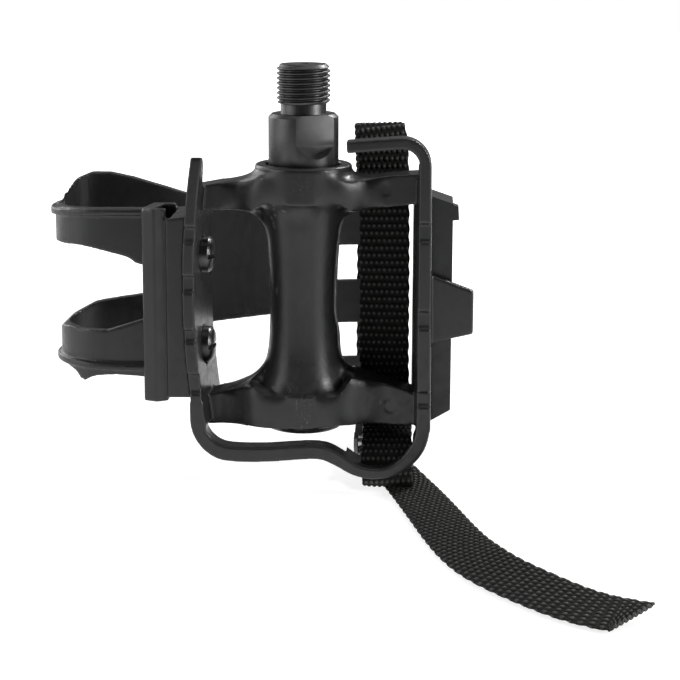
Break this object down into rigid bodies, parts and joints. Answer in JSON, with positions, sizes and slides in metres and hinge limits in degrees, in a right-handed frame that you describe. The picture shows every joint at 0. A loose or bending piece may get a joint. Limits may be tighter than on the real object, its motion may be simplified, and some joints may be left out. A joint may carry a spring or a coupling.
{
  "type": "bicycle pedal",
  "caption": "Right-hand cage pedal on a threaded steel spindle, with a moulded toe clip that turns round the toe and a woven strap with a cam buckle.",
  "frame": {"origin": "on the spindle's axis, where the crank thread starts above its relief neck", "axes": "+Z along the spindle towards the crank, +X towards the rear of the pedal, +Y towards the rider's foot"},
  "size_m": [0.1512, 0.1593, 0.1132],
  "materials": {
    "spindle_steel": "black phosphated steel, semi-matt",
    "bearing_steel": "bright machined steel",
    "ball_chrome": "polished",
    "cage_nylon": "satin black moulded nylon",
    "clip_nylon": "satin black moulded plastic",
    "seal_rubber": "matt",
    "black_steel": "black coated steel",
    "amber_lens": "amber reflector lens",
    "webbing": "black woven webbing"
  },
  "bodies": {
    "spindle": {"spindle": "spindle_steel", "bearing_cone": "bearing_steel", "tab_washer": "bearing_steel", "lock_nut": "bearing_steel"},
    "pedal": {"body": "cage_nylon", "inboard_cup": "bearing_steel", "outboard_cup": "bearing_steel", "inboard_balls": "ball_chrome", "outboard_balls": "ball_chrome", "inboard_seal": "seal_rubber", "dust_cap": "cage_nylon", "toe_clip": "clip_nylon", "clip_screw_upper": "black_steel", "clip_screw_lower": "black_steel", "clip_washer_upper": "black_steel", "clip_washer_lower": "black_steel", "clip_nut_upper": "black_steel", "clip_nut_lower": "black_steel", "reflector_housing": "clip_nylon", "reflector_lens": "amber_lens", "reflector_screws": "bearing_steel", "strap": "webbing", "strap_tail": "webbing", "buckle_frame": "black_steel", "buckle_roller": "bearing_steel", "buckle_lever_pin": "bearing_steel"},
    "lever": {"buckle_lever": "black_steel"}
  },
  "joints": [
    {"name": "pedal_spin", "type": "hinge", "parent": "spindle", "child": "pedal", "pos_m": [0, 0, 0], "axis": [0, 0, 1], "continuous": true},
    {"name": "buckle_lever_hinge", "type": "hinge", "parent": "pedal", "child": "lever", "pos_m": [0.021, 0.01984, -0.09965], "axis": [1, 0, 0], "range_deg": [-75, 0]}
  ]
}
